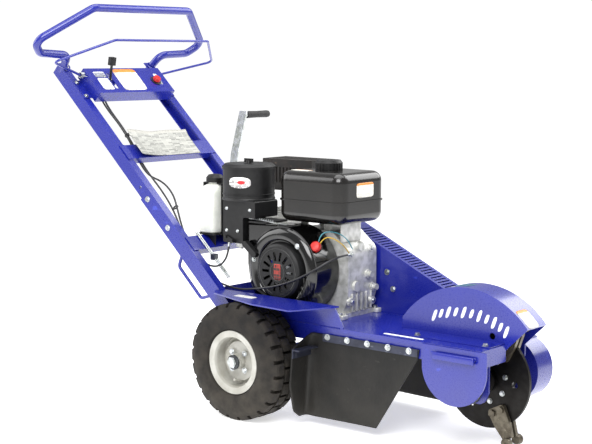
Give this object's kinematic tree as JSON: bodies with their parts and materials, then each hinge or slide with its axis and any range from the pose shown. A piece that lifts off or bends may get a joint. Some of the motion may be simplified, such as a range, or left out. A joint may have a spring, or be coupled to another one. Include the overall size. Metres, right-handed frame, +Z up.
{
  "type": "walk-behind stump grinder",
  "caption": "Walk-behind stump grinder: engine on a folded steel deck, belt-driven cutting disc under a hood, pneumatic wheels and telescoping handle rails.",
  "frame": {"origin": "on the floor under the middle of the machine's bounding box", "axes": "+X forward from the handle to the cutter, +Y to the operator's left, +Z up"},
  "size_m": [1.7015, 0.7298, 1.1931],
  "materials": {
    "blue_paint": "gloss",
    "zinc_steel": "satin",
    "black_rod": "gloss",
    "bare_steel": "worn",
    "cast_pulley": "satin",
    "tyre_rubber": "matte",
    "rim_paint": "gloss",
    "soft_rubber": "satin",
    "cast_aluminium": "cast",
    "black_gloss": "gloss",
    "black_tank": "gloss",
    "black_muffler": "heat-proof black",
    "black_plastic": "satin",
    "red_plastic": "gloss",
    "bottle_plastic": "translucent",
    "white_sheet": "satin"
  },
  "bodies": {
    "frame": {"deck": "blue_paint", "rear_tray": "blue_paint", "chassis_brackets": "blue_paint", "upper_rail_right": "blue_paint", "upper_rail_left": "blue_paint", "lower_rail_right": "blue_paint", "lower_rail_left": "blue_paint", "handlebar": "blue_paint", "control_console": "blue_paint", "rail_crossbars": "blue_paint", "lift_handles": "blue_paint", "cutter_hood": "blue_paint", "side_guard": "blue_paint", "belt_guard": "blue_paint", "frame_bolts": "zinc_steel", "flap_strips": "zinc_steel", "linkage_rods": "zinc_steel", "wheel_axle": "zinc_steel", "cutter_bearings": "cast_pulley", "debris_flap_right": "soft_rubber", "debris_flap_left": "soft_rubber", "drive_belt": "soft_rubber", "crankcase": "cast_aluminium", "crankcase_cover": "cast_aluminium", "cylinder_block": "cast_aluminium", "engine_fittings": "cast_aluminium", "fan_cover": "black_gloss", "rocker_cover": "black_gloss", "muffler_guard": "black_gloss", "fuel_tank": "black_tank", "muffler": "black_muffler", "recoil_cover": "black_plastic", "air_cleaner_body": "black_plastic", "air_cleaner_cover": "black_plastic", "carburettor": "black_plastic", "spark_plug_cap": "black_plastic", "bottle_strap": "black_plastic", "control_cables": "black_plastic", "fluid_bottle": "bottle_plastic", "operator_tag": "white_sheet"},
    "wheel_right": {"tyre_right": "tyre_rubber", "rim_right": "rim_paint"},
    "wheel_left": {"tyre_left": "tyre_rubber", "rim_left": "rim_paint"},
    "cutter": {"cutter_shaft": "bare_steel", "cutter_disc": "bare_steel", "cutter_teeth": "bare_steel", "driven_pulley": "cast_pulley"},
    "crank": {"crankshaft": "bare_steel", "flywheel": "cast_aluminium", "drive_pulley": "cast_pulley"},
    "idler_arm": {"idler_arm": "bare_steel"},
    "idler_pulley": {"idler_pulley": "cast_pulley"},
    "tension_lever": {"tension_lever": "zinc_steel"},
    "throttle_lever": {"throttle_lever": "black_plastic"},
    "stop_switch": {"stop_switch": "red_plastic"},
    "operator_bail": {"operator_bail": "black_rod"},
    "fuel_cap": {"fuel_cap": "black_plastic"},
    "starter_grip": {"starter_grip": "black_plastic"},
    "choke_lever": {"choke_lever": "black_plastic"}
  },
  "joints": [
    {"name": "wheel_right_spin", "type": "hinge", "parent": "frame", "child": "wheel_right", "pos_m": [0.0365, -0.2515, 0.1675], "axis": [0, 1, 0], "continuous": true},
    {"name": "wheel_left_spin", "type": "hinge", "parent": "frame", "child": "wheel_left", "pos_m": [0.0365, 0.2515, 0.1675], "axis": [0, 1, 0], "continuous": true},
    {"name": "cutter_spin", "type": "hinge", "parent": "frame", "child": "cutter", "pos_m": [0.7015, 0, 0.172], "axis": [0, 1, 0], "continuous": true},
    {"name": "crank_spin", "type": "hinge", "parent": "frame", "child": "crank", "pos_m": [0.0875, 0, 0.416], "axis": [0, 1, 0], "continuous": true},
    {"name": "idler_arm_swing", "type": "hinge", "parent": "frame", "child": "idler_arm", "pos_m": [0.2759, 0.135, 0.33135], "axis": [0, 1, 0], "range_deg": [0, 12]},
    {"name": "idler_spin", "type": "hinge", "parent": "idler_arm", "child": "idler_pulley", "pos_m": [0.3599, 0.135, 0.35135], "axis": [0, 1, 0], "continuous": true},
    {"name": "tension_lever_swing", "type": "hinge", "parent": "frame", "child": "tension_lever", "pos_m": [-0.38337, 0.139, 0.60498], "axis": [0, 1, 0], "range_deg": [-36, 0]},
    {"name": "throttle_lever_swing", "type": "hinge", "parent": "frame", "child": "throttle_lever", "pos_m": [-0.71493, -0.079, 0.93853], "axis": [0, 1, 0], "range_deg": [-15, 50]},
    {"name": "stop_switch_press", "type": "slide", "parent": "frame", "child": "stop_switch", "axis": [-0.6833, 0, -0.7302], "range_m": [0, 0.004], "stiffness_N_per_m": 500, "springref_m": -0.002},
    {"name": "operator_bail_squeeze", "type": "hinge", "parent": "frame", "child": "operator_bail", "pos_m": [-0.74286, 0, 0.97014], "axis": [0, 1, 0], "range_deg": [-24, 0], "stiffness_Nm_per_rad": 1.5, "springref_deg": 8.59},
    {"name": "fuel_cap_turn", "type": "hinge", "parent": "frame", "child": "fuel_cap", "pos_m": [0.1345, 0.006, 0.715], "axis": [0, 0, 1], "range_deg": [0, 90]},
    {"name": "starter_pull", "type": "slide", "parent": "frame", "child": "starter_grip", "axis": [-0.456, -0.75, 0.479], "range_m": [0, 0.5], "stiffness_N_per_m": 20, "springref_m": -0.15},
    {"name": "choke_lever_swing", "type": "hinge", "parent": "frame", "child": "choke_lever", "pos_m": [-0.1175, -0.167, 0.5], "axis": [0, 1, 0], "range_deg": [-35, 10]}
  ],
  "couplings": [
    {"joint": "crank_spin", "follows": "cutter_spin", "ratio": 1.129},
    {"joint": "idler_spin", "follows": "cutter_spin", "ratio": 2.1341},
    {"joint": "idler_arm_swing", "follows": "tension_lever_swing", "ratio": -0.33333}
  ]
}
